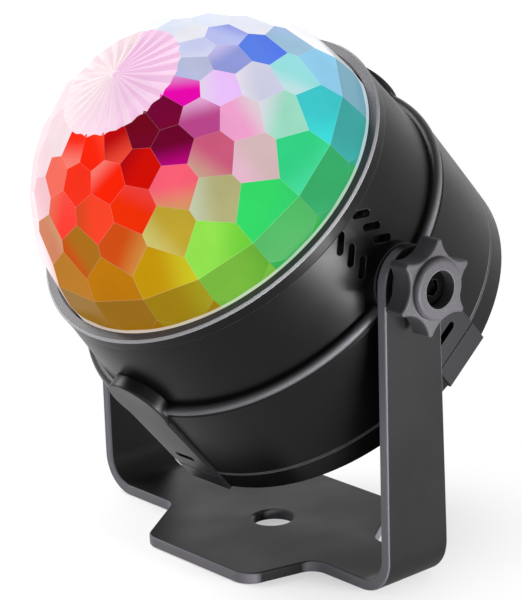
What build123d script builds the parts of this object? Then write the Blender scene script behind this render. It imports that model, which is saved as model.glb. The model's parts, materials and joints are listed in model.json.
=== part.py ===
from build123d import *
from math import acos, atan2, cos, degrees, pi, radians, sin, tan
import os

os.makedirs("parts", exist_ok=True)

# The origin is the centre of the base's mounting hole, on its underside. X runs along the tilt
# pivot, the dome faces -Y and up, and Z is up. Lengths are millimetres, angles are degrees.

# Pose of the head
pivot_height = 71.0
pivot_lead = 1.5
head_tilt = 50.0

# Clearances
overrun = 1.0
flat_gap = 0.1
fit_gap = 0.05
loose_gap = 0.2
arm_gap = 0.45
dome_gap = 0.45
parting_gap = 0.25

# Drum: radii about the head's axis, and places along it measured from the pivot
front_shell_front_radius = 43.9
front_shell_rear_radius = 45.35
front_shell_wall = 1.8
drum_step = 2.0
drum_flare = 0.25
drum_wall = 2.0
bezel_face = 21.6
bezel_depth = 3.0
bezel_width = 2.4
bezel_lip = 0.1
bezel_chamfer = 0.5
tongue_depth = 2.0
tongue_thickness = 0.75
shell_joint = 0.4
spigot_end = -6.0
parting_line = -24.6
drum_end = -31.0
cap_floor = 2.2
cap_spigot = 4.8
cap_spigot_wall = 2.0
cap_round = 0.8
shoulder_radius = 1.5
groove_width = 0.8
groove_depth = 0.25

# Pods that stand round the drum, two of them over the pivot
pod_rise = 0.4
pod_half_width = 7.0
pod_nose_radius = 8.2
pod_end = -30.5
pod_sink = 3.35
pod_round = 0.35
pod_count = 4
pod_slot_length = 6.4
pod_slot_width = 1.8
pod_slot_place = -19.8
boss_radius = 4.6
boss_length = 8.5
insert_radius = 3.4
insert_length = 7.0
insert_groove = 0.4
washer_seat_radius = 6.1
washer_seat_depth = 1.0
friction_washer_radius = 5.9
friction_washer_bore = 2.9

# Vent slots in front of the pivot pods, in chevrons that point at the dome
vent_places = (16.8, 12.7, 8.5)
vent_offset = 4.0
vent_length = 5.2
vent_width = 1.7
vent_slant = 42.5

# Screw pillars inside the drum
pillar_count = 4
pillar_angle = 45.0
pillar_radius = 4.2
pillar_sink = 0.05
pillar_front = 5.0
pillar_web = 2.5
case_screw_radius = 1.45
case_screw_head_radius = 2.8
case_screw_head_depth = 1.8
case_screw_seat = 4.0
case_screw_reach = 5.2
pilot_membrane = 1.0
small_screw_radius = 1.2
small_screw_head_radius = 2.2
small_screw_head_depth = 1.4
driver_slot = 0.7
driver_depth = 0.8

# Dome: facets touch a sphere, and the cap on its pole is a low fluted cone
dome_skirt_proud = 0.1
dome_centre = 17.9
dome_skirt = 1.0
dome_wall = 1.85
facets_per_row = 18
facet_row_angles = (25.7, 35.4, 45.5, 55.8, 66.0, 78.8)
facet_row_turn_shares = (0.3, 0.8, 0.3, 0.8, 0.3, 0.3)
flute_count = 24
cap_rise = 0.25
cap_rim_radius = 14.7
flute_depth = 0.45
flute_width_share = 0.9
flute_place_shares = (0.08, 0.6, 1.08)
flute_depth_shares = (0.3, 1.0, 0.1)
hub_radius = 6.0
hub_depth = 9.0
spindle_radius = 4.0
spindle_seat = 6.5
shaft_radius = 2.0
shaft_tip = 20.0

# Lamp and motor
plate_thickness = 2.0
plate_gap = 0.4
board_thickness = 1.6
lamp_board_radius = 23.0
lamp_inset = 10.0
lamp_angles = (60.0, 180.0, 300.0)
lamp_screw_inset = 3.5
lamp_screw_angles = (0.0, 120.0, 240.0)
emitter_colours = ("red", "green", "blue")
emitter_size = 3.5
emitter_height = 1.2
emitter_dome_radius = 1.4
lens_foot_radius = 3.7
lens_top_radius = 6.3
lens_height = 10.0
lens_pocket_radius = 2.9
lens_pocket_depth = 3.2
gearbox_radius = 15.0
gearbox_length = 9.0
motor_radius = 12.0
motor_length = 11.0
motor_nose_radius = 3.5
motor_ear_overhang = 3.0
motor_ear_radius = 3.2
motor_ear_thickness = 1.5
shaft_root = 6.5

# Control board and what stands on it, placed across the head's axis as (x, y)
control_board_place = -19.0
control_board_margin = 2.2
standoff_inset = 6.0
standoff_angles = (90.0, 210.0, 330.0)
standoff_radius = 3.0
board_screw_reach = 5.0
chip_places = ((-20.0, 9.0), (12.0, -20.0), (-13.0, 22.0))
chip_length = 9.9
chip_width = 3.9
chip_height = 1.7
capacitor_place = (22.0, 8.0)
capacitor_radius = 4.0
capacitor_height = 9.0
inlet_place = (0.0, -23.0)
inlet_body = 9.0
inlet_body_end = -28.4
inlet_nose_radius = 3.9
inlet_recess = 0.5
inlet_bore_radius = 2.75
inlet_bore_depth = 9.5
inlet_pin_radius = 1.0
inlet_pin_recess = 1.0
receiver_place = (14.0, -20.0)
receiver_width = 6.0
receiver_depth = 5.0
receiver_length = 8.2
window_radius = 4.0
window_flange_radius = 5.0
window_flange = 1.0
microphone_place = (0.0, 10.0)
microphone_radius = 3.0
microphone_length = 5.2
sound_hole_radius = 0.6
sound_hole_gap = 0.6
sound_hole_count = 6
button_place = (-14.0, -20.0)
button_radius = 3.0
button_proud = 0.8
button_flange_radius = 4.2
button_flange = 1.0
button_stem_radius = 1.5
button_travel = 0.5
button_round = 0.4
switch_size = 6.0
switch_height = 3.5
plunger_radius = 1.7
plunger_proud = 1.1
plunger_depth = 2.0

# Leads inside the drum
lead_angle = 30.0
lead_inset = 5.0
lead_jog = 7.2
lead_crest = 12.4
lead_width = 5.0
lead_thickness = 1.2
lead_bend = 2.0
motor_lead_angle = 210.0
motor_lead_run = 16.5
motor_lead_crest = -10.5
motor_lead_width = 2.6
motor_lead_thickness = 1.1
motor_lead_bend = 1.5

# Bracket
bracket_thickness = 2.6
bracket_bend = 9.0
arm_top_radius = 8.2
arm_root_width = 18.2
lobe_reach = 27.7
lobe_steep_waist = 28.8
lobe_steep_tip = 22.2
lobe_slant_waist = 32.3
lobe_slant_tip = 13.4
lobe_corner = 5.0
lobe_fillet = 4.0
base_hole_radius = 5.0
bracket_round = 0.45

# Clamp knobs on the pivot
stud_radius = 2.45
stud_reach = 6.2
clamp_washer_radius = 6.2
clamp_washer_thickness = 1.75
knob_tip_radius = 10.6
knob_lobes = 6
knob_thickness = 5.0
knob_scallop_radius = 7.2
knob_scallop_set = 4.2
knob_tip_round = 0.4
knob_turn = 41.0
knob_edge_round = 0.45
knob_ring_radius = 6.9
knob_ring_rise = 1.4
knob_ring_round = 1.0
knob_recess_radius = 4.2
knob_web = 1.7
clamp_head_radius = 3.9
clamp_head_depth = 2.2
socket_radius = 2.0
socket_depth = 1.3

# Places worked out from the sizes above
head = Plane(
    origin=(0, -pivot_lead, pivot_height),
    x_dir=(1, 0, 0),
    z_dir=(0, -cos(radians(head_tilt)), sin(radians(head_tilt))),
)
head_axis = Axis(head.origin, head.z_dir)
drum_front_radius = max(front_shell_front_radius, front_shell_rear_radius) + drum_step
drum_radius = drum_front_radius + drum_flare
spigot_radius = drum_front_radius - drum_wall
pod_face = drum_radius + pod_rise
pod_root = drum_front_radius - pod_sink
boss_inner = pod_face - boss_length
arm_inner = pod_face + arm_gap
arm_outer = arm_inner + bracket_thickness
shell_front = bezel_face - bezel_depth
bezel_radius = front_shell_front_radius + bezel_lip
dome_opening = bezel_radius - bezel_width
dome_skirt_radius = dome_opening - dome_gap
dome_radius = dome_skirt_radius - dome_skirt_proud
pillar_circle = front_shell_rear_radius - front_shell_wall - pillar_radius + pillar_sink
plate_radius = min(front_shell_front_radius, front_shell_rear_radius) - front_shell_wall - plate_gap
lamp_circle = lamp_board_radius - lamp_inset
lamp_screw_circle = lamp_board_radius - lamp_screw_inset
motor_ear_circle = gearbox_radius + motor_ear_overhang
control_board_radius = pillar_circle - pillar_radius - control_board_margin
standoff_circle = control_board_radius - standoff_inset
sound_hole_circle = 2 * sound_hole_radius + sound_hole_gap
lead_run = control_board_radius - lead_inset
lead_landing = lead_run - lead_jog
knob_scallop_circle = knob_tip_radius + knob_scallop_set
cap_start = parting_line - parting_gap
cap_inner = drum_end + cap_floor
cap_spigot_top = cap_start + cap_spigot
plate_front = pillar_front + plate_thickness
lamp_board_front = plate_front + board_thickness
control_board_front = control_board_place + board_thickness
washer_place = arm_outer + flat_gap
knob_place = washer_place + clamp_washer_thickness + flat_gap
knob_face = knob_place + knob_thickness
insert_outer = pod_face - washer_seat_depth
pivot_sides = (0.0, 180.0)


def outward(angle):
    """Direction across the head's axis, at an angle from its X."""
    return head.x_dir * cos(radians(angle)) + head.y_dir * sin(radians(angle))


def side_plane(angle, distance=0.0):
    """Plane that faces outward at an angle, with its Y towards the dome."""
    facing = outward(angle)
    return Plane(
        origin=head.origin + facing * distance,
        x_dir=outward(angle + 90),
        z_dir=facing,
    )


def section_plane(angle=0.0):
    """Plane through the head's axis, with X as the radius and Y towards the dome."""
    return Plane(origin=head.origin, x_dir=outward(angle), z_dir=outward(angle - 90))


def polar_place(radius, angle):
    return radius * cos(radians(angle)), radius * sin(radians(angle))


def disc(radius, start, end, places=((0, 0),), mode=Mode.ADD):
    """Round pieces along the head's axis, between two places on it."""
    with BuildSketch(head.offset(start)) as outline:
        with Locations(*places):
            Circle(radius)
    extrude(outline.sketch, amount=end - start, mode=mode)


def block(width, depth, start, end, places=((0, 0),), mode=Mode.ADD):
    """Square-cornered pieces along the head's axis, between two places on it."""
    with BuildSketch(head.offset(start)) as outline:
        with Locations(*places):
            Rectangle(width, depth)
    extrude(outline.sketch, amount=end - start, mode=mode)


def rod(radius, start, end, angle=0.0, mode=Mode.ADD):
    """A round piece along the tilt pivot, between two distances from the head's axis."""
    with BuildSketch(side_plane(angle, start)) as outline:
        Circle(radius)
    extrude(outline.sketch, amount=end - start, mode=mode)


def turned(points, mode=Mode.ADD):
    """A ring or disc turned from an outline of (radius, place along the head's axis)."""
    with BuildSketch(section_plane()) as outline:
        with BuildLine():
            Polyline(*points, close=True)
        make_face()
    revolve(outline.sketch, axis=head_axis, mode=mode)


def round_pod(shell, angle, seam):
    """Round the rim of a pod's outer face, but not where the pod meets the next shell."""
    face = shell.faces().sort_by(Axis(head.origin, outward(angle)))[-1]

    def off_seam(edge):
        place = (edge.center() - head.origin).dot(head.z_dir)
        return abs(place - seam) > fit_gap

    fillet(face.edges().filter_by(off_seam), pod_round)


def finish(builder, label):
    builder.part.label = label
    export_step(builder.part, f"parts/{label}.step")


pillar_places = [
    polar_place(pillar_circle, pillar_angle + number * 360 / pillar_count)
    for number in range(pillar_count)
]
pod_angles = [number * 360 / pod_count for number in range(pod_count)]
lamp_places = [polar_place(lamp_circle, angle) for angle in lamp_angles]
lamp_screw_places = [polar_place(lamp_screw_circle, angle) for angle in lamp_screw_angles]
standoff_places = [polar_place(standoff_circle, angle) for angle in standoff_angles]
ear_places = ((0, motor_ear_circle), (0, -motor_ear_circle))
sound_hole_places = [microphone_place] + [
    (
        microphone_place[0] + polar_place(sound_hole_circle, number * 360 / sound_hole_count)[0],
        microphone_place[1] + polar_place(sound_hole_circle, number * 360 / sound_hole_count)[1],
    )
    for number in range(sound_hole_count)
]


# Bracket: a bent strap with tapered arms, and a base plate with a lobe in front and another behind,
# each with one steep and one slanted side, so that the blank is the same turned end for end
flat_half = arm_outer - bracket_bend
with BuildPart() as base_plate:
    with BuildSketch(Plane.XY) as base_outline:
        for hand in (1, -1):
            with BuildLine():
                Polyline(
                    (hand * lobe_steep_waist, 0),
                    (hand * lobe_steep_tip, -hand * lobe_reach),
                    (-hand * lobe_slant_tip, -hand * lobe_reach),
                    (-hand * lobe_slant_waist, 0),
                    close=True,
                )
            make_face()
        tips = base_outline.vertices().filter_by(lambda corner: abs(corner.Y) > arm_root_width)
        fillet(tips, lobe_corner)
        with Locations((0, -pivot_lead)):
            Rectangle(2 * flat_half, arm_root_width)
        roots = base_outline.vertices().filter_by(
            lambda corner: lobe_slant_tip < abs(corner.X) < flat_half - fit_gap
            and abs(corner.Y) < arm_root_width
        )
        fillet(roots, lobe_fillet)
        Circle(base_hole_radius, mode=Mode.SUBTRACT)
    extrude(amount=bracket_thickness)
    rims = base_plate.edges().filter_by(
        lambda edge: abs(edge.center().X) < flat_half - fit_gap
        and abs(edge.center().Z - bracket_thickness / 2) > fit_gap
    )
    fillet(rims, bracket_round)

with BuildPart() as bracket:
    arm_middle = arm_outer - bracket_thickness / 2
    strap_height = pivot_height + arm_top_radius + overrun
    with BuildSketch(Plane.XZ.offset(pivot_lead)):
        with BuildLine():
            FilletPolyline(
                (-arm_middle, strap_height),
                (-arm_middle, bracket_thickness / 2),
                (arm_middle, bracket_thickness / 2),
                (arm_middle, strap_height),
                radius=bracket_bend - bracket_thickness / 2,
            )
        trace(line_width=bracket_thickness)
    extrude(amount=arm_root_width, both=True)
    root_drop = pivot_height - bracket_bend - bracket_thickness
    root_distance = (root_drop**2 + (arm_root_width / 2) ** 2) ** 0.5
    tangent_angle = acos(arm_top_radius / root_distance) - atan2(root_drop, arm_root_width / 2)
    tangent_run, tangent_rise = polar_place(arm_top_radius, degrees(tangent_angle))
    with BuildSketch(Plane(origin=(0, -pivot_lead, pivot_height), x_dir=(0, 1, 0), z_dir=(1, 0, 0))):
        with BuildLine():
            Polyline(
                (-arm_root_width / 2, -pivot_height - overrun),
                (arm_root_width / 2, -pivot_height - overrun),
                (arm_root_width / 2, -root_drop),
                (tangent_run, tangent_rise),
                (-tangent_run, tangent_rise),
                (-arm_root_width / 2, -root_drop),
                close=True,
            )
        make_face()
        Circle(arm_top_radius)
    extrude(amount=arm_outer + overrun, both=True, mode=Mode.INTERSECT)
    for side in pivot_sides:
        rod(stud_radius + loose_gap, arm_inner - overrun, arm_outer + overrun, side, mode=Mode.SUBTRACT)
    fillet(bracket.edges(), bracket_round)
    with BuildSketch(Plane.XY):
        Rectangle(2 * flat_half, 2 * arm_root_width)
    extrude(amount=bracket_thickness, mode=Mode.SUBTRACT)
    add(base_plate.part)
finish(bracket, "bracket")


# Front shell: a tapered ring with vents, pillars and notches round the pivot bosses
with BuildPart() as front_shell:
    inner_front = front_shell_front_radius - front_shell_wall
    inner_rear = front_shell_rear_radius - front_shell_wall
    tongue_seat = dome_opening + tongue_thickness + fit_gap
    turned((
        (front_shell_front_radius, shell_front),
        (front_shell_rear_radius, shell_joint),
        (spigot_radius - fit_gap, shell_joint),
        (spigot_radius - fit_gap, spigot_end),
        (inner_rear, spigot_end),
        (inner_rear, shell_joint),
        (inner_front, shell_front - tongue_depth - fit_gap),
        (tongue_seat, shell_front - tongue_depth - fit_gap),
        (tongue_seat, shell_front),
    ))
    disc(pillar_radius, spigot_end, pillar_front, pillar_places)
    disc(case_screw_radius + fit_gap, spigot_end, -pilot_membrane / 2, pillar_places, Mode.SUBTRACT)
    disc(small_screw_radius + fit_gap, pilot_membrane / 2, pillar_front, pillar_places, Mode.SUBTRACT)
    for side in pivot_sides:
        notch_radius = boss_radius + loose_gap
        with BuildSketch(side_plane(side, boss_inner)):
            Circle(notch_radius)
            with Locations((0, spigot_end - overrun)):
                Rectangle(2 * notch_radius, overrun - spigot_end, align=(Align.CENTER, Align.MIN))
        extrude(amount=pod_face - boss_inner, mode=Mode.SUBTRACT)
        with BuildSketch(side_plane(side, boss_inner)):
            for place in vent_places:
                for hand in (1, -1):
                    with Locations((hand * vent_offset, place)):
                        SlotOverall(vent_length, vent_width, rotation=-hand * vent_slant)
        extrude(amount=pod_face - boss_inner, mode=Mode.SUBTRACT)
finish(front_shell, "front_shell")


# Bezel ring: a flat ring round the dome, with a tongue that plugs into the front shell
with BuildPart() as bezel_ring:
    turned((
        (dome_opening, bezel_face),
        (bezel_radius - bezel_chamfer, bezel_face),
        (bezel_radius, bezel_face - bezel_chamfer),
        (bezel_radius, shell_front),
        (dome_opening + tongue_thickness, shell_front),
        (dome_opening + tongue_thickness, shell_front - tongue_depth),
        (dome_opening, shell_front - tongue_depth),
    ))
finish(bezel_ring, "bezel_ring")


# Rear shell: the drum, with its shoulder, pods, pivot bosses and screw pillars
with BuildPart() as rear_shell:
    with BuildSketch(section_plane()):
        with BuildLine():
            crest = drum_front_radius + groove_depth
            shoulder_end = shell_joint - shoulder_radius
            groove_middle = shoulder_end - groove_width
            Line((spigot_radius, shell_joint), (crest - shoulder_radius, shell_joint))
            RadiusArc(
                (crest - shoulder_radius, shell_joint), (crest, shoulder_end), shoulder_radius
            )
            Polyline(
                (crest, shoulder_end),
                (drum_front_radius - groove_depth, groove_middle),
                (drum_front_radius, groove_middle - groove_width / 2),
                (drum_radius, parting_line),
                (spigot_radius, parting_line),
                (spigot_radius, shell_joint),
            )
        make_face()
    revolve(axis=head_axis)
    for angle in pod_angles:
        with BuildSketch(side_plane(angle, pod_root)):
            Circle(pod_nose_radius)
            with Locations((0, parting_line)):
                Rectangle(2 * pod_half_width, -parting_line, align=(Align.CENTER, Align.MIN))
        extrude(amount=pod_face - pod_root)
    turned(
        (
            (0, parting_line),
            (spigot_radius, parting_line),
            (spigot_radius, shell_joint),
            (front_shell_rear_radius + flat_gap, shell_joint),
            (front_shell_front_radius + flat_gap, shell_front),
            (0, shell_front),
        ),
        Mode.SUBTRACT,
    )
    for angle in pod_angles:
        round_pod(rear_shell, angle, parting_line)
    for side in pivot_sides:
        rod(boss_radius, boss_inner, insert_outer, side)
        rod(washer_seat_radius, insert_outer, pod_face, side, Mode.SUBTRACT)
        rod(insert_radius + fit_gap, boss_inner, insert_outer, side, Mode.SUBTRACT)
    for angle in pod_angles:
        with BuildSketch(side_plane(angle, pod_root)):
            with Locations((0, pod_slot_place)):
                SlotOverall(pod_slot_length, pod_slot_width)
        extrude(amount=pod_face - pod_root, mode=Mode.SUBTRACT)
    pillar_start = cap_spigot_top + flat_gap
    with BuildSketch(head.offset(pillar_start)):
        with Locations(*pillar_places):
            Circle(pillar_radius)
        for number in range(pillar_count):
            with Locations(Location((0, 0), pillar_angle + number * 360 / pillar_count)):
                with Locations((pillar_circle, 0)):
                    Rectangle(
                        spigot_radius + fit_gap - pillar_circle,
                        pillar_web,
                        align=(Align.MIN, Align.CENTER),
                    )
        with Locations(*pillar_places):
            Circle(case_screw_radius + loose_gap, mode=Mode.SUBTRACT)
    extrude(amount=spigot_end - flat_gap - pillar_start)
finish(rear_shell, "rear_shell")


# Rear cap: the drum's end, with a spigot, screw posts, standoffs and its stretch of each pod
with BuildPart() as rear_cap:
    spigot_inner = spigot_radius - fit_gap - cap_spigot_wall
    turned((
        (0, drum_end),
        (drum_radius - cap_round, drum_end),
        (drum_radius, drum_end + cap_round),
        (drum_radius, cap_start),
        (spigot_radius - fit_gap, cap_start),
        (spigot_radius - fit_gap, cap_spigot_top),
        (spigot_inner, cap_spigot_top),
        (spigot_inner, cap_inner),
        (0, cap_inner),
    ))
    for angle in pod_angles:
        with BuildSketch(side_plane(angle, spigot_radius)):
            with Locations((0, pod_end)):
                Rectangle(2 * pod_half_width, cap_start - pod_end, align=(Align.CENTER, Align.MIN))
        extrude(amount=pod_face - spigot_radius)
        round_pod(rear_cap, angle, cap_start)
    disc(pillar_radius, cap_inner, cap_spigot_top, pillar_places)
    disc(standoff_radius, cap_inner, control_board_place, standoff_places)
    disc(case_screw_radius + loose_gap, drum_end, cap_spigot_top, pillar_places, Mode.SUBTRACT)
    seat = drum_end + case_screw_seat
    disc(case_screw_head_radius + loose_gap, drum_end, seat, pillar_places, Mode.SUBTRACT)
    pilot_start = control_board_place - board_screw_reach - pilot_membrane
    disc(small_screw_radius + fit_gap, pilot_start, control_board_place, standoff_places, Mode.SUBTRACT)
    disc(inlet_nose_radius + loose_gap, drum_end, cap_inner, [inlet_place], Mode.SUBTRACT)
    disc(window_radius + loose_gap, drum_end, cap_inner, [receiver_place], Mode.SUBTRACT)
    disc(button_radius + loose_gap, drum_end, cap_inner, [button_place], Mode.SUBTRACT)
    disc(sound_hole_radius, drum_end, cap_inner, sound_hole_places, Mode.SUBTRACT)
finish(rear_cap, "rear_cap")


# Dome: one clear moulding, flat facets outside and a smooth sphere inside
with BuildPart() as dome:
    disc(dome_skirt_radius, dome_centre - dome_skirt, dome_centre + 2 * dome_radius)
    facet_pitch = 360 / facets_per_row
    for polar_angle, turn_share in zip(facet_row_angles, facet_row_turn_shares):
        for number in range(facets_per_row):
            across = outward((number + turn_share) * facet_pitch)
            facing = across * sin(radians(polar_angle)) + head.z_dir * cos(radians(polar_angle))
            middle = head.origin + head.z_dir * dome_centre
            facet = Plane(origin=middle + facing * dome_radius, z_dir=facing)
            split(bisect_by=facet, keep=Keep.BOTTOM)
    cap_tip = dome_centre + dome_radius + cap_rise
    cap_slope = tan(radians(facet_row_angles[0] / 2))
    cone_fall = (cap_tip - dome_centre) - (
        dome_radius - cap_rim_radius * sin(radians(facet_row_angles[0]))
    ) / cos(radians(facet_row_angles[0]))
    turned(
        (
            (0, cap_tip),
            (cap_rim_radius, cap_tip - cone_fall),
            (2 * cap_rim_radius, cap_tip - 2 * cone_fall),
            (2 * cap_rim_radius, cap_tip + cap_rim_radius),
            (0, cap_tip + cap_rim_radius),
        ),
        Mode.SUBTRACT,
    )
    for number in range(flute_count):
        flute_angle = (number + 0.5) * 360 / flute_count
        for share, depth_share in zip(flute_place_shares, flute_depth_shares):
            run = cap_rim_radius * share
            half_width = flute_width_share * run * tan(pi / flute_count)
            depth = flute_depth * depth_share
            surface = cap_tip - cone_fall * share
            with BuildSketch(side_plane(flute_angle, run)):
                with BuildLine():
                    Polyline(
                        (-half_width - depth, surface + depth),
                        (-half_width, surface),
                        (0, surface - depth),
                        (half_width, surface),
                        (half_width + depth, surface + depth),
                        close=True,
                    )
                make_face()
        loft(ruled=True, mode=Mode.SUBTRACT)
    inner_radius = dome_radius - dome_wall
    skirt_end = dome_centre - dome_skirt
    with BuildSketch(section_plane()):
        with BuildLine():
            Polyline(
                (0, dome_centre + inner_radius),
                (0, skirt_end),
                (inner_radius, skirt_end),
                (inner_radius, dome_centre),
            )
            RadiusArc((0, dome_centre + inner_radius), (inner_radius, dome_centre), inner_radius)
        make_face()
    revolve(axis=head_axis, mode=Mode.SUBTRACT)
    hub_end = dome_centre + inner_radius - hub_depth
    disc(hub_radius, hub_end, dome_centre + inner_radius)
    disc(spindle_radius + fit_gap, hub_end, hub_end + spindle_seat, mode=Mode.SUBTRACT)
finish(dome, "dome")


# Drive: motor with its gearbox, its shaft, and the spindle that carries the dome
with BuildPart() as gear_motor:
    disc(gearbox_radius, pillar_front - gearbox_length, pillar_front)
    disc(motor_ear_radius, pillar_front - motor_ear_thickness, pillar_front, ear_places)
    with BuildSketch(head.offset(pillar_front - motor_ear_thickness)):
        Rectangle(2 * motor_ear_radius, 2 * motor_ear_circle)
    extrude(amount=motor_ear_thickness)
    motor_front = pillar_front - gearbox_length
    disc(motor_radius, motor_front - motor_length, motor_front)
    disc(motor_nose_radius, pillar_front, plate_front)
    disc(shaft_radius + fit_gap, pillar_front - shaft_root - flat_gap, plate_front, mode=Mode.SUBTRACT)
    disc(
        small_screw_radius + loose_gap,
        pillar_front - motor_ear_thickness,
        pillar_front,
        ear_places,
        Mode.SUBTRACT,
    )
finish(gear_motor, "gear_motor")

with BuildPart() as motor_shaft:
    disc(shaft_radius, pillar_front - shaft_root, shaft_tip)
finish(motor_shaft, "motor_shaft")

with BuildPart() as dome_spindle:
    spindle_start = lamp_board_front + fit_gap + loose_gap
    disc(spindle_radius, spindle_start, hub_end + spindle_seat)
    disc(shaft_radius + fit_gap, spindle_start, shaft_tip + flat_gap, mode=Mode.SUBTRACT)
finish(dome_spindle, "dome_spindle")


# Lamp: a plate across the drum as heat sink, the lamp board, emitters and beam lenses
with BuildPart() as lamp_plate:
    disc(plate_radius, pillar_front, plate_front)
    disc(motor_nose_radius + loose_gap, pillar_front, plate_front, mode=Mode.SUBTRACT)
    disc(small_screw_radius + loose_gap, pillar_front, plate_front, pillar_places, Mode.SUBTRACT)
    plate_pilots = lamp_screw_places + list(ear_places)
    disc(small_screw_radius + fit_gap, pillar_front, plate_front, plate_pilots, Mode.SUBTRACT)
    with BuildSketch(head.offset(pillar_front)):
        with Locations(Location((0, 0), lead_angle)):
            with Locations((lead_run, 0)):
                Rectangle(lead_thickness + 2 * flat_gap + overrun, lead_width + overrun)
    extrude(amount=plate_thickness, mode=Mode.SUBTRACT)
finish(lamp_plate, "lamp_plate")

with BuildPart() as lamp_board:
    disc(lamp_board_radius, plate_front, lamp_board_front)
    disc(spindle_radius + loose_gap, plate_front, lamp_board_front, mode=Mode.SUBTRACT)
    disc(
        small_screw_radius + loose_gap, plate_front, lamp_board_front, lamp_screw_places, Mode.SUBTRACT
    )
finish(lamp_board, "lamp_board")

for colour, place in zip(emitter_colours, lamp_places):
    with BuildPart() as emitter:
        emitter_top = lamp_board_front + emitter_height
        block(emitter_size, emitter_size, lamp_board_front, emitter_top, [place])
        disc(emitter_dome_radius, emitter_top, emitter_top + emitter_dome_radius, [place])
        fillet(emitter.faces().sort_by(head_axis)[-1].edges(), emitter_dome_radius - fit_gap)
    finish(emitter, f"{colour}_emitter")

with BuildPart() as beam_lenses:
    lens_top = lamp_board_front + lens_height
    for place in lamp_places:
        with BuildSketch(head.offset(lamp_board_front)) as foot:
            with Locations(place):
                Circle(lens_foot_radius)
        with BuildSketch(head.offset(lens_top)) as mouth:
            with Locations(place):
                Circle(lens_top_radius)
        loft([foot.sketch, mouth.sketch], ruled=True)
    pocket_end = lamp_board_front + lens_pocket_depth
    disc(lens_pocket_radius, lamp_board_front, pocket_end, lamp_places, Mode.SUBTRACT)
finish(beam_lenses, "beam_lenses")


def screws(label, places, head_radius, head_depth, shank_radius, seat, tip):
    """Identical screws: heads that sit on a seat, and shanks that run from it to a tip."""
    away = 1 if seat > tip else -1
    with BuildPart() as group:
        disc(head_radius, seat, seat + away * head_depth, places)
        disc(shank_radius, tip, seat, places)
        middle = seat + away * head_depth
        block(2 * shank_radius, driver_slot, middle, middle - away * driver_depth, places, Mode.SUBTRACT)
        block(driver_slot, 2 * shank_radius, middle, middle - away * driver_depth, places, Mode.SUBTRACT)
    finish(group, label)


small = (small_screw_head_radius, small_screw_head_depth, small_screw_radius)
screws("lamp_screws", lamp_screw_places, *small, lamp_board_front, pillar_front + flat_gap)
screws("plate_screws", pillar_places, *small, plate_front, pilot_membrane)
screws(
    "motor_screws", ear_places, *small, pillar_front - motor_ear_thickness, plate_front - flat_gap
)
screws(
    "board_screws",
    standoff_places,
    *small,
    control_board_front,
    control_board_place - board_screw_reach,
)
screws(
    "case_screws",
    pillar_places,
    case_screw_head_radius,
    case_screw_head_depth,
    case_screw_radius,
    drum_end + case_screw_seat,
    spigot_end + case_screw_reach - overrun / 2,
)


# Control board, and the pieces that stand on it
with BuildPart() as control_board:
    disc(control_board_radius, control_board_place, control_board_front)
    disc(
        small_screw_radius + loose_gap,
        control_board_place,
        control_board_front,
        standoff_places,
        Mode.SUBTRACT,
    )
finish(control_board, "control_board")

with BuildPart() as driver_chips:
    chip_top = control_board_front + chip_height
    block(chip_length, chip_width, control_board_front, chip_top, chip_places)
finish(driver_chips, "driver_chips")

with BuildPart() as capacitor:
    capacitor_top = control_board_front + capacitor_height
    disc(capacitor_radius, control_board_front, capacitor_top, [capacitor_place])
    fillet(capacitor.faces().sort_by(head_axis)[-1].edges(), fit_gap + loose_gap)
finish(capacitor, "capacitor")

with BuildPart() as power_inlet:
    inlet_mouth = drum_end + inlet_recess
    inlet_floor = inlet_mouth + inlet_bore_depth
    block(inlet_body, inlet_body, inlet_body_end, control_board_place, [inlet_place])
    disc(inlet_nose_radius, inlet_mouth, inlet_body_end, [inlet_place])
    disc(inlet_bore_radius, inlet_mouth, inlet_floor, [inlet_place], Mode.SUBTRACT)
    disc(inlet_pin_radius, inlet_mouth + inlet_pin_recess, inlet_floor, [inlet_place])
finish(power_inlet, "power_inlet")

with BuildPart() as receiver:
    receiver_end = control_board_place - receiver_length
    block(receiver_width, receiver_depth, receiver_end, control_board_place, [receiver_place])
finish(receiver, "remote_receiver")

with BuildPart() as receiver_window:
    disc(window_radius, drum_end + flat_gap, cap_inner, [receiver_place])
    disc(window_flange_radius, cap_inner, cap_inner + window_flange, [receiver_place])
finish(receiver_window, "receiver_window")

with BuildPart() as microphone:
    microphone_end = control_board_place - microphone_length
    disc(microphone_radius, microphone_end, control_board_place, [microphone_place])
finish(microphone, "microphone")

with BuildPart() as push_switch:
    switch_face = control_board_place - switch_height
    block(switch_size, switch_size, switch_face, control_board_place, [button_place])
    well_end = switch_face + plunger_depth + button_travel + flat_gap
    disc(plunger_radius + fit_gap, switch_face, well_end, [button_place], Mode.SUBTRACT)
finish(push_switch, "push_switch")

with BuildPart() as switch_plunger:
    plunger_tip = switch_face - plunger_proud
    disc(plunger_radius, plunger_tip, switch_face + plunger_depth, [button_place])
finish(switch_plunger, "switch_plunger")

with BuildPart() as mode_button:
    flange_start = cap_inner + flat_gap
    disc(button_radius, drum_end - button_proud, flange_start, [button_place])
    fillet(mode_button.faces().sort_by(head_axis)[0].edges(), button_round)
    disc(button_flange_radius, flange_start, flange_start + button_flange, [button_place])
    disc(button_stem_radius, flange_start + button_flange, plunger_tip, [button_place])
finish(mode_button, "mode_button")


def lead(label, angle, points, bend, width, thickness):
    """A flat lead inside the drum, on a path of (radius, place along the head's axis)."""
    with BuildPart() as strip:
        with BuildSketch(section_plane(angle)) as outline:
            with BuildLine():
                FilletPolyline(*points, radius=bend)
            trace(line_width=thickness)
        extrude(outline.sketch, amount=width / 2, both=True)
    finish(strip, label)


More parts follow.
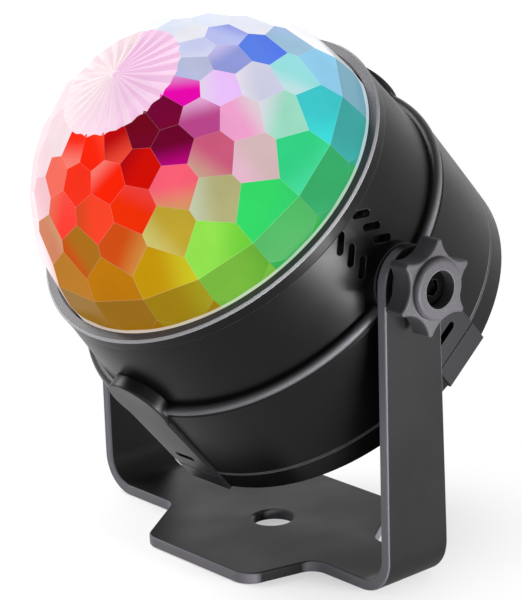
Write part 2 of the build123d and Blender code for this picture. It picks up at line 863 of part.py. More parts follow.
lead(
    "lamp_leads",
    lead_angle,
    (
        (lead_run, control_board_front),
        (lead_run, lead_crest),
        (lead_landing, lead_crest),
        (lead_landing, lamp_board_front),
    ),
    lead_bend - flat_gap,
    lead_width,
    lead_thickness,
)
lead(
    "motor_leads",
    motor_lead_angle,
    (
        (motor_lead_run, control_board_front),
        (motor_lead_run, motor_lead_crest),
        (motor_radius - flat_gap + loose_gap, motor_lead_crest),
    ),
    motor_lead_bend,
    motor_lead_width,
    motor_lead_thickness,
)


# Pivot: inserts and friction washers in the pods, collar washers, knobs and their screws outside
with BuildPart() as threaded_inserts:
    for side in pivot_sides:
        insert_start = insert_outer - insert_length
        rod(insert_radius, insert_start, insert_outer, side)
        waist_start = insert_start + insert_length / 2 - insert_groove
        waist_end = insert_start + insert_length / 2 + insert_groove
        with BuildSketch(side_plane(side, waist_start)):
            Circle(insert_radius)
            Circle(insert_radius - insert_groove, mode=Mode.SUBTRACT)
        extrude(amount=waist_end - waist_start, mode=Mode.SUBTRACT)
        rod(stud_radius + fit_gap, insert_start, insert_outer, side, Mode.SUBTRACT)
finish(threaded_inserts, "threaded_inserts")

with BuildPart() as friction_washers:
    for side in pivot_sides:
        rod(friction_washer_radius, insert_outer + fit_gap, arm_inner - flat_gap, side)
        rod(friction_washer_bore, insert_outer, arm_inner, side, Mode.SUBTRACT)
finish(friction_washers, "friction_washers")


def knob_outline():
    """Six-lobed star with round scallops between its tips, centred on the pivot."""
    with BuildSketch() as star:
        Circle(knob_tip_radius)
        with PolarLocations(knob_scallop_circle, knob_lobes, start_angle=180 / knob_lobes):
            Circle(knob_scallop_radius, mode=Mode.SUBTRACT)
        fillet(star.vertices(), knob_tip_round)
    return star.sketch


for name, side in zip(("right", "left"), pivot_sides):
    hand = 1 if side == 0 else -1
    with BuildPart() as clamp_washer:
        rod(clamp_washer_radius, washer_place, washer_place + clamp_washer_thickness, side)
        rod(stud_radius + loose_gap, washer_place, knob_place, side, Mode.SUBTRACT)
    finish(clamp_washer, f"{name}_clamp_washer")

    with BuildPart() as knob:
        star_plane = side_plane(side, knob_place)
        star = star_plane.location * Rotation(0, 0, hand * knob_turn) * knob_outline()
        extrude(star, amount=knob_thickness)
        across = Axis(head.origin, outward(side))
        fillet(knob.faces().sort_by(across)[-1].edges(), knob_edge_round)
        rod(knob_ring_radius, knob_face, knob_face + knob_ring_rise, side)
        ring_edge = knob.faces().sort_by(across)[-1].edges()
        fillet(ring_edge, knob_ring_round)
        rod(knob_recess_radius, knob_place + knob_web, knob_face + knob_ring_rise, side, Mode.SUBTRACT)
        rod(stud_radius + fit_gap, knob_place, knob_place + knob_web, side, Mode.SUBTRACT)
    finish(knob, f"{name}_knob")

    with BuildPart() as clamp_screw:
        head_seat = knob_place + knob_web
        rod(clamp_head_radius, head_seat, head_seat + clamp_head_depth, side)
        rod(stud_radius, insert_outer - stud_reach, head_seat, side)
        socket_start = head_seat + clamp_head_depth - socket_depth
        with BuildSketch(side_plane(side, socket_start)):
            RegularPolygon(socket_radius, 6)
        extrude(amount=socket_depth, mode=Mode.SUBTRACT)
    finish(clamp_screw, f"{name}_clamp_screw")
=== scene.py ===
import colorsys
import json
import math
import random

import bmesh
import bpy
from mathutils import Matrix, Vector


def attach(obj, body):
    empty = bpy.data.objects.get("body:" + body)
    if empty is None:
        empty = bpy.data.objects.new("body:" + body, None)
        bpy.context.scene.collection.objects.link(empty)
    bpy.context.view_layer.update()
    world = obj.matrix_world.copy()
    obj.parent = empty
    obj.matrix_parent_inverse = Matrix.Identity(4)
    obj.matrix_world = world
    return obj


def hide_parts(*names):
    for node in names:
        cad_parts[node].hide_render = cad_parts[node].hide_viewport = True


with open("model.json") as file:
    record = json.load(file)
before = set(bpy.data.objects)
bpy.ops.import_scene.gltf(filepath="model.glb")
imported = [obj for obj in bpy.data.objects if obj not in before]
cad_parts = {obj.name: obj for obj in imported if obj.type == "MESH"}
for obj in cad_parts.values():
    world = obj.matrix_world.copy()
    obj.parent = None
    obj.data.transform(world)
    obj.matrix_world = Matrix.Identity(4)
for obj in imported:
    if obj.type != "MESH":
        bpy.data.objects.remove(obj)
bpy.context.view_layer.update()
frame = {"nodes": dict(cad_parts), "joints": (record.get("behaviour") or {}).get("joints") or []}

nodes = frame["nodes"]

# Places from the frame: the tilt pivot, and the head's directions across, ahead and up
joints = {joint["name"]: joint for joint in frame["joints"]}
pivot = Vector(joints["head_tilt"]["pos_m"])
head_across = Vector(joints["head_tilt"]["axis"])
head_axis = Vector(joints["dome_spin"]["axis"])
head_up = head_axis.cross(head_across)

# Camera, as fitted to the photograph: its angles, its place in metres, its focal length and picture
# height in pixels, and how near and far it sees in metres
camera_azimuth = math.radians(49.58)
camera_elevation = math.radians(16.50)
camera_roll = math.radians(-2.40)
camera_eye = pivot + Vector((0.3966, -0.3371, 0.1402))
camera_focal = 2343.8
photo_height = 600
near_limit = 0.01
far_limit = 20

# Regions of the head's turned pieces where light and highlights are painted, in metres along the head's
# axis from the pivot, or from the axis
bezel_face_start = 0.02105
bezel_edge_start = 0.04345
shoulder_front = 0.0005
shoulder_crest = -0.0007
shoulder_back = -0.0021
shoulder_start = 0.0459
parting_front = -0.0243
parting_back = -0.0251
parting_start = 0.0468
pod_start = 0.0478
region_blur = 0.00003

# Dome: lengths in metres, and heights along the head's axis from the dome's centre
dome_centre = pivot + head_axis * 0.0179
cap_radius = 0.0149
skin_radius = 0.0397
band_height = 0.0124
rim_height = 0.0041
weld_distance = 0.000002
flat_angle = math.radians(0.6)
cell_seed = 21

# Directions from the dome's centre, in degrees: turn goes round the head's axis from the right-hand
# pivot towards the top and starts again at seam_turn, and polar is the angle from the axis.
# The rim's colours change from one sector of rim_pitch to the next, shifted by a part of a sector.
seam_turn = 110
rim_polar = 62
rim_pitch = 20
rim_shift = 0.2

# Spans over which the dome's light changes, from none at the first angle to full at the second
coloured_turns = (-112, -98), (64, 52)
crimson_turns = (-58, -36), (0, -14)
crimson_polar = (44, 36)
lavender_turn = (4, 18)
blue_turn = (28, 42)
blue_polar = (28, 40)
gold_turn = (-36, -64)
washed_turn = (28, 50)
inner_polar = (62, 48)
outer_polar = (36, 60)
cool_turns = (20, 70), (-190, -240)
warm_turns = (-165, -112), (-60, -96)
paler_polars = (24, 40), (66, 56)
middle_turns = (-42, -24), (30, 14)
middle_polars = (38, 46), (62, 54)
darker_turn = (-60, -30)
cap_turn = (-150, 0)

# How far the span outer_polar moves where the light is gold, in degrees at each end
outer_polar_shift = (10, 4)

# Hues in degrees: where they start, and how they change over spans of turn
inner_hue_start = 8
inner_hue_changes = ((-62, -22), -32), ((-22, 2), -22), ((5, 30), -82)
outer_hue_start = 38
outer_hue_changes = ((-70, 8), 115), ((8, 50), 48)

# How strongly each part of the light changes a colour's saturation or value
lavender_fading = 0.84
lavender_blue_loss = 0.8
crimson_depth = 0.5
outer_saturation = 0.76
gold_saturation = 0.24
washed_fading = 0.36
outer_value = 0.9
gold_depth = 0.14
washed_lift = 0.04

# How strongly haze and warmth are mixed in
gold_clearness = 0.6
middle_paleness = 0.36
room_haze_most = 0.7
room_warmth = 0.8

# Colours of the dome as they show on a display
lit_haze = (0.98, 0.93, 0.90)
side_haze = (0.97, 0.95, 0.96)
room_haze = (0.985, 0.96, 0.975)
room_pale = (0.98, 0.885, 0.91)
room_cool = (0.86, 0.905, 0.985)
room_warm = (0.975, 0.72, 0.76)
# The cap's flutes: painted light on one side, painted shade on the other
cap_lit_sides = (0.985, 0.90, 0.92), (0.98, 0.83, 0.935)
cap_shaded_sides = (0.965, 0.865, 0.895), (0.955, 0.76, 0.90)
inside_grey = (0.16, 0.15, 0.16)

# What each cell draws from: how much paler or darker it gets, and how much hazier to one side
paler_chances = (0.0, 0.0, 0.0, 0.18, 0.42)
darker_chances = (0.0, 0.0, 0.04, 0.08, 0.12)
haze_chances = (0.0, 0.0, 0.25, 0.55)

# Colours in linear light
# Painted shade on the lowest row of the dome's cells
band_shade_colour = (0.05, 0.09, 0.01)
white = (1.0, 1.0, 1.0)
black = (0.0, 0.0, 0.0)


def make_camera():
    """The photograph's view: in front and to the right, a little above the head."""
    back = Vector((
        math.sin(camera_azimuth) * math.cos(camera_elevation),
        -math.cos(camera_azimuth) * math.cos(camera_elevation),
        math.sin(camera_elevation),
    ))
    right = Vector((math.cos(camera_azimuth), math.sin(camera_azimuth), 0))
    up = back.cross(right)
    rolled_right = right * math.cos(camera_roll) + up * math.sin(camera_roll)
    rolled_up = up * math.cos(camera_roll) - right * math.sin(camera_roll)
    data = bpy.data.cameras.new("photo_camera")
    camera = bpy.data.objects.new("photo_camera", data)
    bpy.context.scene.collection.objects.link(camera)
    data.sensor_fit = "AUTO"
    data.lens = camera_focal * data.sensor_width / photo_height
    data.clip_start = near_limit
    data.clip_end = far_limit
    turn = Matrix((rolled_right, rolled_up, back)).transposed().to_4x4()
    camera.matrix_world = Matrix.Translation(camera_eye) @ turn
    bpy.context.scene.camera = camera


# Shader helpers

class Shader:
    """A material with one principled shader, and short calls that add nodes to it."""

    def __init__(self, name):
        self.material = bpy.data.materials.new(name)
        self.material.use_nodes = True
        self.tree = self.material.node_tree
        self.main = self.tree.nodes["Principled BSDF"]

    @classmethod
    def over(cls, material):
        """Takes up a material that is there already."""
        shader = cls.__new__(cls)
        shader.material = material
        shader.tree = material.node_tree
        shader.main = shader.tree.nodes["Principled BSDF"]
        return shader

    def set(self, **values):
        for name, value in values.items():
            self.main.inputs[name.replace("_", " ")].default_value = value

    def feed(self, **sources):
        for name, source in sources.items():
            self.tree.links.new(source, self.main.inputs[name.replace("_", " ")])

    def add(self, kind, **values):
        node = self.tree.nodes.new(kind)
        for name, value in values.items():
            setattr(node, name, value)
        return node

    def give(self, socket, value):
        """Sets a socket to a number or a colour, or links it to another node."""
        if value is None:
            return
        if isinstance(value, (int, float)):
            socket.default_value = value
        elif isinstance(value, tuple):
            socket.default_value = value if len(socket.default_value) == len(value) else (*value, 1)
        else:
            self.tree.links.new(value, socket)

    def coords(self):
        return self.add("ShaderNodeTexCoord").outputs["Object"]

    def noise(self, scale, detail, roughness):
        node = self.add("ShaderNodeTexNoise")
        self.give(node.inputs["Scale"], scale)
        self.give(node.inputs["Detail"], detail)
        self.give(node.inputs["Roughness"], roughness)
        self.give(node.inputs["Vector"], self.coords())
        return node.outputs["Fac"]

    def math(self, operation, first, second=None):
        node = self.add("ShaderNodeMath", operation=operation)
        self.give(node.inputs[0], first)
        self.give(node.inputs[1], second)
        return node.outputs[0]

    def vector(self, operation, first, second=None):
        node = self.add("ShaderNodeVectorMath", operation=operation)
        self.give(node.inputs[0], first)
        self.give(node.inputs[1], second)
        scalar = operation in ("DOT_PRODUCT", "LENGTH")
        return node.outputs["Value" if scalar else "Vector"]

    def fade(self, value, start, end, low=0.0, high=1.0):
        """A smooth step from low at start to high at end."""
        node = self.add("ShaderNodeMapRange", interpolation_type="SMOOTHSTEP")
        for name, number in (("From Min", start), ("From Max", end), ("To Min", low), ("To Max", high)):
            node.inputs[name].default_value = number
        self.give(node.inputs["Value"], value)
        return node.outputs["Result"]

    def over_edge(self, value, edge):
        """1 where a value is above an edge and 0 below it."""
        return self.fade(value, edge - region_blur, edge + region_blur)

    def under_edge(self, value, edge, blur=region_blur, high=1.0):
        """High where a value is below an edge and 0 above it."""
        return self.fade(value, edge + blur, edge - blur, high=high)

    def mix(self, share, first, second):
        node = self.add("ShaderNodeMix", data_type="RGBA")
        for socket, value in zip((node.inputs[0], node.inputs[6], node.inputs[7]), (share, first, second)):
            self.give(socket, value)
        return node.outputs[2]

    def bump(self, height, strength, distance, normal=None):
        node = self.add("ShaderNodeBump")
        node.inputs["Strength"].default_value = strength
        node.inputs["Distance"].default_value = distance
        self.give(node.inputs["Height"], height)
        self.give(node.inputs["Normal"], normal)
        return node.outputs["Normal"]

    def soft_edges(self, radius):
        node = self.add("ShaderNodeBevel", samples=8)
        node.inputs["Radius"].default_value = radius
        return node.outputs["Normal"]

    def edge_share(self, radius, open_face=0.999, sharp=0.9):
        """Near 1 on sharp edges and 0 on open faces."""
        geometry = self.add("ShaderNodeNewGeometry")
        facing = self.vector("DOT_PRODUCT", self.soft_edges(radius), geometry.outputs["Normal"])
        return self.fade(facing, open_face, sharp)

    def attribute(self, name, output="Color"):
        return self.add("ShaderNodeAttribute", attribute_name=name).outputs[output]


def lighten(colour, factor, lift=0.0):
    return tuple(min(1.0, part * factor + lift) for part in colour)


def moulded(name, colour, rough, specular, edge_lift_wear_and_highlight=3.0, edge=0.0003, grain=0.35):
    """Satin plastic or powder coat: fine grain, cloudy gloss, and edges painted lighter, partly as wear
    and partly as a painted highlight.
    """
    s = Shader(name)
    clouds = s.noise(scale=45, detail=4, roughness=0.6)
    grain_field = s.noise(scale=2300, detail=2, roughness=0.65)
    wear = s.noise(scale=300, detail=3, roughness=0.6)
    base = s.mix(s.fade(clouds, 0.35, 0.65), lighten(colour, 0.9), lighten(colour, 1.1))
    base = s.mix(s.fade(grain_field, 0.5, 0.72, high=0.5), base, lighten(colour, 1.7))
    # Edges painted lighter where the wear noise allows: partly wear, partly a painted highlight
    edge_wear_and_highlight = s.math("MULTIPLY", s.edge_share(edge), s.fade(wear, 0.25, 0.6, low=0.45, high=0.9))
    base = s.mix(edge_wear_and_highlight, base, lighten(colour, edge_lift_wear_and_highlight, lift=0.02))
    s.feed(
        Base_Color=base,
        Roughness=s.fade(clouds, 0.3, 0.7, low=rough - 0.04, high=rough + 0.04),
        Normal=s.bump(grain_field, strength=grain, distance=0.00003, normal=s.soft_edges(edge)),
    )
    s.set(Specular_IOR_Level=specular)
    return s.material


def metal(name, colour, rough, edge=0.0001):
    """Plated or bare metal with fine streaks and patches of dullness."""
    s = Shader(name)
    streaks = s.noise(scale=900, detail=3, roughness=0.7)
    clouds = s.noise(scale=150, detail=3, roughness=0.5)
    s.feed(
        Base_Color=s.mix(s.fade(clouds, 0.3, 0.7, high=0.6), colour, lighten(colour, 0.7)),
        Roughness=s.fade(streaks, 0.3, 0.7, low=rough - 0.06, high=rough + 0.1),
        Normal=s.bump(streaks, strength=0.25, distance=0.00001, normal=s.soft_edges(edge)),
    )
    s.set(Metallic=1.0)
    return s.material


def light_spot(name, colour):
    """An emitter's face: lit from within, a little unevenly."""
    s = Shader(name)
    glow = s.fade(s.noise(scale=900, detail=2, roughness=0.5), 0.3, 0.7, low=0.8, high=1.0)
    s.feed(Emission_Color=s.mix(glow, lighten(colour, 0.6), colour))
    s.set(Base_Color=(*lighten(colour, 0.4), 1), Emission_Strength=1.0, Roughness=0.2)
    return s.material


def clear(name, tint, rough=0.03, milk=0.15):
    """Clear moulded plastic with faint flow lines."""
    s = Shader(name)
    flow = s.noise(scale=180, detail=4, roughness=0.6)
    s.feed(
        Base_Color=s.mix(s.fade(flow, 0.4, 0.7, high=milk), tint, lighten(tint, 0.85)),
        Roughness=s.fade(flow, 0.3, 0.7, low=rough, high=rough + 0.05),
        Normal=s.bump(flow, strength=0.1, distance=0.00002),
    )
    s.set(Transmission_Weight=0.9, IOR=1.49)
    return s.material


# Regions of a piece where light or highlights are painted into the colour

def along_axis(s, origin):
    """How far a point lies along the head's axis from an origin."""
    return s.vector("DOT_PRODUCT", s.vector("SUBTRACT", s.coords(), tuple(origin)), tuple(head_axis))


def from_axis(s):
    """How far a point is from the head's axis."""
    local = s.vector("SUBTRACT", s.coords(), tuple(pivot))
    return s.vector("LENGTH", s.vector("CROSS_PRODUCT", local, tuple(head_axis)))


def bezel_face_painted_light(s):
    """The front face of the ring round the dome, painted a lighter grey as painted light."""
    return s.over_edge(along_axis(s, pivot), bezel_face_start)


def bezel_edge_highlight(s):
    """The outer part of that face, where a bright highlight is painted."""
    return s.math("MULTIPLY", s.over_edge(from_axis(s), bezel_edge_start), bezel_face_painted_light(s))


def shoulder_highlight(s):
    """The drum's rounded front edge, where a highlight is painted, strongest on its crest."""
    along = along_axis(s, pivot)
    crest = s.math(
        "MULTIPLY",
        s.fade(along, shoulder_front, shoulder_crest),
        s.fade(along, shoulder_back, shoulder_crest),
    )
    return s.math("MULTIPLY", crest, s.over_edge(from_axis(s), shoulder_start))


def parting_edge_highlights(s):
    """The outer edges of the parting line between the drum and its back cap, where a thin highlight is
    painted.
    """
    along = along_axis(s, pivot)
    edges = s.math("MULTIPLY", s.under_edge(along, parting_front), s.over_edge(along, parting_back))
    return s.math("MULTIPLY", edges, s.over_edge(from_axis(s), parting_start))


def pod_faces_painted_light(s):
    """The drum's four pods, which stand out from its turned wall; their faces are painted lighter than the
    drum, as painted light.
    """
    return s.over_edge(from_axis(s), pod_start)


def cut_edge_highlights(s):
    """The bent strap's cut edges, which face along the strap's width, where a highlight is painted."""
    normal = s.add("ShaderNodeTexCoord").outputs["Normal"]
    across = s.math("ABSOLUTE", s.vector("DOT_PRODUCT", normal, (0, 1, 0)))
    return s.fade(across, 0.2, 0.5)


def recolour(material, region, colour, gloss=1.0):
    """Changes a material's colour, and scales its roughness, where region(s) is 1."""
    s = Shader.over(material)
    share = region(s)
    base, rough = (s.main.inputs[name].links[0].from_socket for name in ("Base Color", "Roughness"))
    s.feed(
        Base_Color=s.mix(share, base, colour),
        Roughness=s.math("MULTIPLY", rough, s.fade(share, 0.0, 1.0, low=1.0, high=gloss)),
    )


# Dome

def to_linear(colour):
    """Display colour to linear light."""
    return tuple(
        part / 12.92 if part <= 0.04045 else ((part + 0.055) / 1.055) ** 2.4 for part in colour
    )


def step(value, start, end):
    """A smooth step from 0 at start to 1 at end, which may be the lower of the two."""
    share = min(1.0, max(0.0, (value - start) / (end - start)))
    return share * share * (3 - 2 * share)


def within(value, spans):
    """1 between two spans and 0 outside them."""
    return math.prod(step(value, *span) for span in spans)


def blend(first, second, share):
    return tuple(a + (b - a) * share for a, b in zip(first, second))


def changing_hue(turn, start, changes):
    """A hue from 0 to 1, which changes by some degrees over each span of turn."""
    hue = start + sum(change * step(turn, *span) for span, change in changes)
    return hue / 360 % 1


def lamp_light(turn, polar):
    """The colour that the lamps throw through the dome in a direction.

    Near the cap red runs through crimson to blue, towards the rim gold runs through green to blue,
    and between them the two overlap and add up to paler tones."""
    crimson = within(turn, crimson_turns) * step(polar, *crimson_polar)
    blue = step(turn, *blue_turn) * step(polar, *blue_polar)
    lavender = step(turn, *lavender_turn) * (1 - lavender_blue_loss * blue)
    gold = step(turn, *gold_turn)
    washed = step(turn, *washed_turn)
    inner = colorsys.hsv_to_rgb(
        changing_hue(turn, inner_hue_start, inner_hue_changes),
        1 - lavender_fading * lavender,
        1 - crimson_depth * crimson,
    )
    outer = colorsys.hsv_to_rgb(
        changing_hue(turn, outer_hue_start, outer_hue_changes),
        outer_saturation + gold_saturation * gold - washed_fading * washed,
        outer_value - gold_depth * gold + washed_lift * washed,
    )
    inner_share = step(polar, *inner_polar)
    outer_span = (edge + shift * gold for edge, shift in zip(outer_polar, outer_polar_shift))
    outer_share = step(polar, *outer_span)
    return tuple(
        1 - (1 - near * inner_share) * (1 - far * outer_share) for near, far in zip(inner, outer)
    )


def room_light(turn):
    """The pale colour of the side that the room's light washes out."""
    cool = sum(step(turn, *span) for span in cool_turns)
    pale = blend(room_pale, room_cool, min(1.0, cool))
    return blend(pale, room_warm, room_warmth * within(turn, warm_turns))


def cell_colour(dice, turn, polar, spread):
    """One cell's own colour: the light of a place near it, paler or darker by chance."""
    light = lamp_light(turn + dice.uniform(-spread, spread), polar + dice.uniform(-spread, spread) / 2)
    paler = dice.choice(paler_chances) * within(polar, paler_polars)
    paler *= 1 - gold_clearness * step(turn, *gold_turn)
    paler = max(paler, middle_paleness * within(turn, middle_turns) * within(polar, middle_polars))
    darker = dice.choice(darker_chances) * step(turn, *darker_turn)
    light = blend(blend(light, lit_haze, paler), black, darker)
    pale = blend(room_light(turn), room_haze, dice.uniform(0.0, room_haze_most))
    return blend(pale, light, within(turn, coloured_turns))


def dome_angles(local):
    """Turn, polar angle and distance from the axis of a place given from the dome's centre."""
    across = local.dot(head_across)
    up = local.dot(head_up)
    radius = math.hypot(across, up)
    turn = math.degrees(math.atan2(up, across))
    if turn > seam_turn:
        turn -= 360
    return turn, math.degrees(math.atan2(radius, local.dot(head_axis))), radius


def cap_colour(local, normal, turn):
    """The fluted cap's faces are painted paler on one side of each flute than on the other, as painted
    light and shade.
    """
    side = normal.dot(head_axis.cross(local).normalized())
    left, right = cap_lit_sides if side > 0 else cap_shaded_sides
    return blend(left, right, step(turn, *cap_turn))


def rim_colours(turn):
    """A rim facet's colour and the one that it fades to, the same all over its sector."""
    sector = math.floor(turn / rim_pitch + rim_shift)
    dice = random.Random(cell_seed + sector)
    middle = (sector + 0.5 - rim_shift) * rim_pitch
    own = cell_colour(dice, middle, rim_polar, spread=6)
    return own, cell_colour(dice, middle + rim_pitch / 3, rim_polar, spread=3)


def skin_colours(dice, turn, polar):
    """A hexagonal facet's colour and the one that it fades to."""
    own = cell_colour(dice, turn, polar, spread=8)
    other = cell_colour(dice, turn, polar, spread=20)
    return own, blend(other, side_haze, dice.choice(haze_chances))


def cell_order(face):
    """A face's place, to sort the faces by, so that each gets the same colours in every run."""
    return tuple(round(part, 4) for part in face.calc_center_median())


def dome_cells():
    """The dome's skin as its own mesh, whose flat cells each carry their colours."""
    mesh = nodes["dome"].data.copy()
    mesh.name = "dome_skin"
    body = bmesh.new()
    body.from_mesh(mesh)
    bmesh.ops.remove_doubles(body, verts=body.verts, dist=weld_distance)
    bmesh.ops.dissolve_limit(
        body, angle_limit=flat_angle, verts=body.verts, edges=body.edges, delimit=set()
    )
    layers = body.faces.layers
    light_layer, side_layer = map(layers.float_color.new, ("cell_light", "cell_side"))
    centre_layer, turn_layer = map(layers.float_vector.new, ("cell_centre", "cell_turn"))
    dice = random.Random(cell_seed)
    for face in sorted(body.faces, key=cell_order):
        centre = face.calc_center_median()
        local = centre - dome_centre
        turn, polar, radius = dome_angles(local)
        outer = local.length > skin_radius and face.normal.dot(local) > 0
        if not outer:
            own = other = inside_grey
        elif radius < cap_radius:
            own = other = cap_colour(local, face.normal, turn)
        elif polar > rim_polar:
            own, other = rim_colours(turn)
        else:
            own, other = skin_colours(dice, turn, polar)
        # The way in which a face's colour fades lies flat in it: any way, but sideways on the rim
        heading = dice.uniform(0, 2 * math.pi) if polar < rim_polar else 0
        flat = head_across * math.cos(heading) + head_up * math.sin(heading)
        flat = (flat - face.normal * flat.dot(face.normal)).normalized()
        size = max((vert.co - centre).length for vert in face.verts)
        face[light_layer] = (*to_linear(own), 1)
        face[side_layer] = (*to_linear(other), 1)
        face[centre_layer] = centre
        face[turn_layer] = flat / size
        face.smooth = not outer
    body.to_mesh(mesh)
    body.free()
    skin = bpy.data.objects.new("dome_skin", mesh)
    bpy.context.scene.collection.objects.link(skin)
    mesh.materials.clear()
    mesh.materials.append(dome_material())
    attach(skin, "dome")
    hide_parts("dome")


def dome_material():
    """Clear moulding full of coloured light: each cell shows its colour, fading to one side."""
    s = Shader("dome_plastic")
    offset = s.vector("SUBTRACT", s.coords(), s.attribute("cell_centre", "Vector"))
    aside = s.vector("DOT_PRODUCT", offset, s.attribute("cell_turn", "Vector"))
    fading = s.fade(aside, -0.15, 0.95, high=0.75)
    colour = s.mix(fading, s.attribute("cell_light"), s.attribute("cell_side"))
    # Painted highlight along the edges of the cells
    ridge_highlight = s.math("MULTIPLY", s.edge_share(0.00015, open_face=0.9998, sharp=0.9975), 0.15)
    colour = s.mix(ridge_highlight, colour, white)
    height = along_axis(s, dome_centre)
    # Painted shade: the lowest row of cells darkened below band_height
    band_shade = s.under_edge(height, band_height, blur=0.00005, high=0.42)
    colour = s.mix(band_shade, colour, band_shade_colour)
    # Painted glint: the dome's edge next to the ring lightened towards white
    rim = s.under_edge(height, rim_height, blur=0.0001, high=0.45)
    colour = s.mix(rim, colour, white)
    flow = s.noise(scale=90, detail=3, roughness=0.5)
    colour = s.mix(s.fade(flow, 0.35, 0.7, high=0.07), colour, black)
    s.feed(Emission_Color=colour, Base_Color=s.mix(0.97, colour, black))
    s.set(Emission_Strength=0.95, Roughness=0.25, Specular_IOR_Level=0.03)
    return s.material


# Lights and surroundings

def area_light(name, place, target, width, height, power):
    data = bpy.data.lights.new(name, "AREA")
    data.shape = "RECTANGLE"
    data.size = width
    data.size_y = height
    data.energy = power
    light = bpy.data.objects.new(name, data)
    bpy.context.scene.collection.objects.link(light)
    light.location = place
    light.visible_camera = False
    light.rotation_mode = "QUATERNION"
    light.rotation_quaternion = (Vector(target) - Vector(place)).to_track_quat("-Z", "Y")


def seen_directly(tree):
    """1 for rays from the camera, off gloss or through glass, and 0 for the light on the object."""
    path = tree.nodes.new("ShaderNodeLightPath")
    total = path.outputs["Is Camera Ray"]
    for name in ("Is Glossy Ray", "Is Transmission Ray"):
        larger = tree.nodes.new("ShaderNodeMath")
        larger.operation = "MAXIMUM"
        tree.links.new(total, larger.inputs[0])
        tree.links.new(path.outputs[name], larger.inputs[1])
        total = larger.outputs[0]
    return total


def make_world(dim=0.4):
    """White where it is seen, and dimmer as light on the object."""
    world = bpy.data.worlds.new("studio")
    bpy.context.scene.world = world
    world.use_nodes = True
    tree = world.node_tree
    background = tree.nodes["Background"]
    background.inputs["Color"].default_value = (1, 1, 1, 1)
    strength = tree.nodes.new("ShaderNodeMapRange")
    strength.inputs["To Min"].default_value = dim
    strength.inputs["To Max"].default_value = 1.0
    tree.links.new(seen_directly(tree), strength.inputs["Value"])
    tree.links.new(strength.outputs[0], background.inputs["Strength"])


def make_floor(half_side=3.0, drop=0.00005):
    """Pale floor that keeps the object's soft shadow and fades into the white background."""
    mesh = bpy.data.meshes.new("floor")
    corners = [(x * half_side, y * half_side, 0) for x, y in ((-1, -1), (1, -1), (1, 1), (-1, 1))]
    mesh.from_pydata(corners, [], [(0, 1, 2, 3)])
    floor = bpy.data.objects.new("floor", mesh)
    bpy.context.scene.collection.objects.link(floor)
    floor.location.z = -drop
    s = Shader("floor_paper")
    paper = s.noise(scale=25, detail=4, roughness=0.6)
    s.feed(Base_Color=s.mix(paper, (0.93, 0.93, 0.93), (0.96, 0.96, 0.96)))
    s.set(Roughness=0.9, Specular_IOR_Level=0.1)
    away = s.fade(s.vector("LENGTH", s.coords()), 0.03, 0.085, low=0.45)
    glow = s.add("ShaderNodeEmission")
    blended = s.add("ShaderNodeMixShader")
    s.give(blended.inputs[0], s.math("MULTIPLY", away, seen_directly(s.tree)))
    s.give(blended.inputs[1], s.main.outputs[0])
    s.give(blended.inputs[2], glow.outputs[0])
    s.give(s.tree.nodes["Material Output"].inputs["Surface"], blended.outputs[0])
    mesh.materials.append(s.material)


def assign(material, *names):
    for name in names:
        data = nodes[name].data
        data.materials.clear()
        data.materials.append(material)


# Each row: name, place, target, width, height, power in watts
lamps = (
    ("right_softbox", (0.76, 0.25, -0.01), pivot, 0.30, 0.12, 1.8),
    ("left_softbox", (-0.62, -0.53, -0.01), pivot, 0.30, 0.12, 4),
    ("top_softbox", (-0.62, -0.15, 0.60), pivot, 0.5, 0.5, 8),
    ("base_softbox", (-0.60, 0.45, 0.20), (0, 0, 0), 0.3, 0.2, 0.7),
    ("low_right_strip", (0.19, 0.02, 0.026), (0.045, -0.01, 0.075), 0.10, 0.035, 0.6),
)
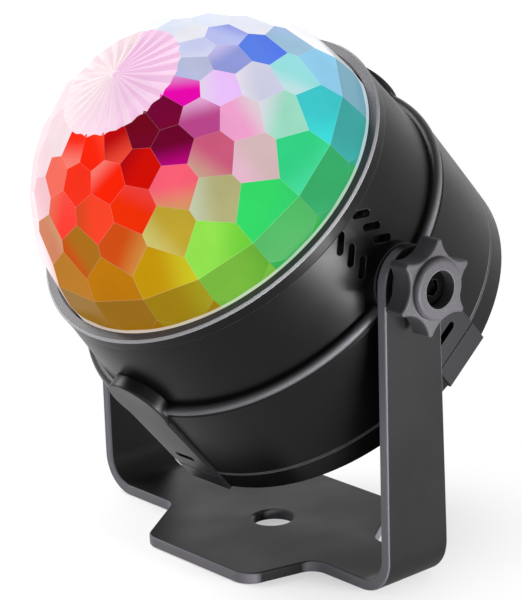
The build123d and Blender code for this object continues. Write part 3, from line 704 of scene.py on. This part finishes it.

# Each row: material, colour, roughness, specular level, how many times lighter its edges are painted
# (partly wear, partly a painted highlight), pieces
plain_finishes = (
    ("knob_plastic", (0.043, 0.041, 0.046), 0.45, 0.12, 3.0,
     ("right_knob", "left_knob", "right_clamp_washer", "left_clamp_washer")),
    ("black_plastic", (0.012, 0.012, 0.012), 0.4, 0.4, 3.0,
     ("driver_chips", "capacitor", "power_inlet", "remote_receiver", "push_switch")),
    ("button_plastic", (0.03, 0.03, 0.032), 0.45, 0.4, 3.0, ("mode_button",)),
    ("white_plastic", (0.8, 0.8, 0.78), 0.4, 0.4, 1.1, ("switch_plunger", "dome_spindle")),
    ("white_board", (0.85, 0.85, 0.83), 0.35, 0.4, 1.1, ("lamp_board",)),
    ("green_board", (0.01, 0.12, 0.045), 0.35, 0.4, 1.6, ("control_board",)),
    ("lead_insulation", (0.35, 0.02, 0.02), 0.4, 0.4, 1.5, ("lamp_leads", "motor_leads")),
    ("washer_rubber", (0.01, 0.01, 0.01), 0.7, 0.2, 3.0, ("friction_washers",)),
    ("black_steel", (0.001, 0.001, 0.001), 0.6, 0.01, 1.0,
     ("case_screws", "right_clamp_screw", "left_clamp_screw")),
)

# Each row: material, colour, roughness, pieces
metals = (
    ("steel", (0.6, 0.6, 0.62), 0.3,
     ("motor_shaft", "lamp_screws", "plate_screws", "motor_screws", "board_screws")),
    ("motor_steel", (0.5, 0.5, 0.52), 0.35, ("gear_motor", "microphone")),
    ("lamp_aluminium", (0.05, 0.05, 0.055), 0.45, ("lamp_plate",)),
    ("brass", (0.75, 0.55, 0.25), 0.3, ("threaded_inserts",)),
)

emitters = {"red": (1.0, 0.03, 0.02), "green": (0.03, 1.0, 0.08), "blue": (0.03, 0.08, 1.0)}

make_camera()
make_world()
make_floor()
for lamp in lamps:
    area_light(*lamp)

case = moulded("case_plastic", (0.0025, 0.0025, 0.0029), rough=0.34, specular=0.14, grain=0.3)
# Painted highlight along the drum's rounded front edge
recolour(case, shoulder_highlight, (0.11, 0.108, 0.117))
# Painted highlight on the edges of the parting line
recolour(case, parting_edge_highlights, (0.07, 0.07, 0.075))
# Painted light: the pods' faces lighter than the drum they are moulded with
recolour(case, pod_faces_painted_light, (0.013, 0.0125, 0.0145))
assign(case, "front_shell", "rear_shell", "rear_cap")

# The bracket's edges are painted much lighter: mostly a painted highlight, with a little wear
coat = moulded(
    "bracket_paint", (0.009, 0.009, 0.0096), rough=0.5, specular=0.068, edge_lift_wear_and_highlight=14.0, edge=0.0004
)
# Painted highlight on the strap's cut edges
recolour(coat, cut_edge_highlights, (0.13, 0.125, 0.14))
assign(coat, "bracket")

bezel = moulded(
    "bezel_plastic", (0.0025, 0.0025, 0.0029), rough=0.34, specular=0.12, edge_lift_wear_and_highlight=1.5, grain=0.03
)
# Painted light: the bezel's front face lighter grey than the rest of the ring
recolour(bezel, bezel_face_painted_light, (0.085, 0.08, 0.09))
# Painted highlight on the outer edge of the bezel's face
recolour(bezel, bezel_edge_highlight, (0.34, 0.34, 0.36), gloss=0.75)
assign(bezel, "bezel_ring")

for name, colour, rough, specular, edge_lift_wear_and_highlight, pieces in plain_finishes:
    assign(moulded(name, colour, rough, specular, edge_lift_wear_and_highlight), *pieces)
for name, colour, rough, pieces in metals:
    assign(metal(name, colour, rough), *pieces)
for name, colour in emitters.items():
    assign(light_spot(f"{name}_light", colour), f"{name}_emitter")
assign(clear("lens_plastic", (0.97, 0.98, 1.0)), "beam_lenses")
assign(clear("window_plastic", (0.10, 0.01, 0.02)), "receiver_window")
dome_cells()

bpy.context.scene.view_settings.view_transform = "Standard"
